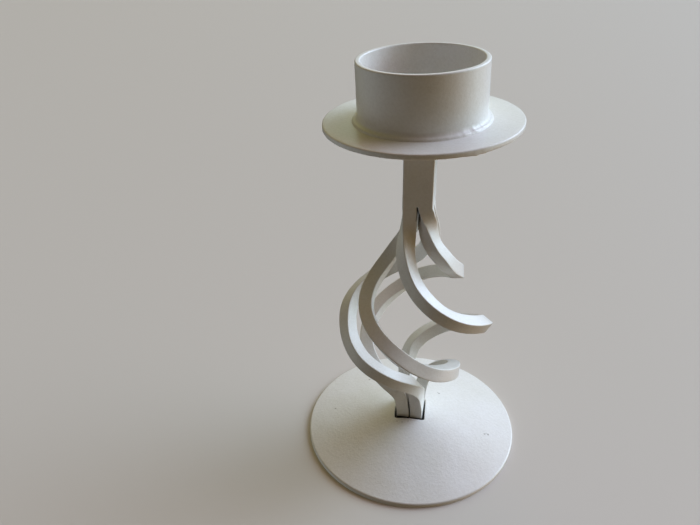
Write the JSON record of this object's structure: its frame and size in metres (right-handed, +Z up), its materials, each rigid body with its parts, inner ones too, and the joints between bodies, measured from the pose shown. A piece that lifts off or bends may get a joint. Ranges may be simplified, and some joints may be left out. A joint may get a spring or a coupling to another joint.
{
  "type": "spiral candle holder",
  "caption": "Tea-light holder of white painted steel: round conical foot, stem of square bars opened into a spiral twist, flat drip pan and a short tube cup.",
  "frame": {"origin": "middle of the foot, on the surface it stands on", "axes": "+Z up along the stem and the cup, -Y towards the side seen in the picture"},
  "size_m": [0.088, 0.088, 0.1595],
  "materials": {
    "foot_paint": "satin powder coat, fine orange peel",
    "bar_paint": "satin powder coat, fine orange peel",
    "pan_paint": "satin powder coat, fine orange peel",
    "weld_paint": "satin powder coat over weld beads"
  },
  "bodies": {
    "root": {"base_plate": "foot_paint", "spiral_bar_a": "bar_paint", "spiral_bar_b": "bar_paint", "spiral_bar_c": "bar_paint", "spiral_bar_d": "bar_paint", "drip_pan": "pan_paint", "candle_cup": "pan_paint", "cup_weld": "weld_paint", "stem_seam_weld": "weld_paint", "pan_weld": "weld_paint", "base_weld": "weld_paint"}
  },
  "joints": []
}
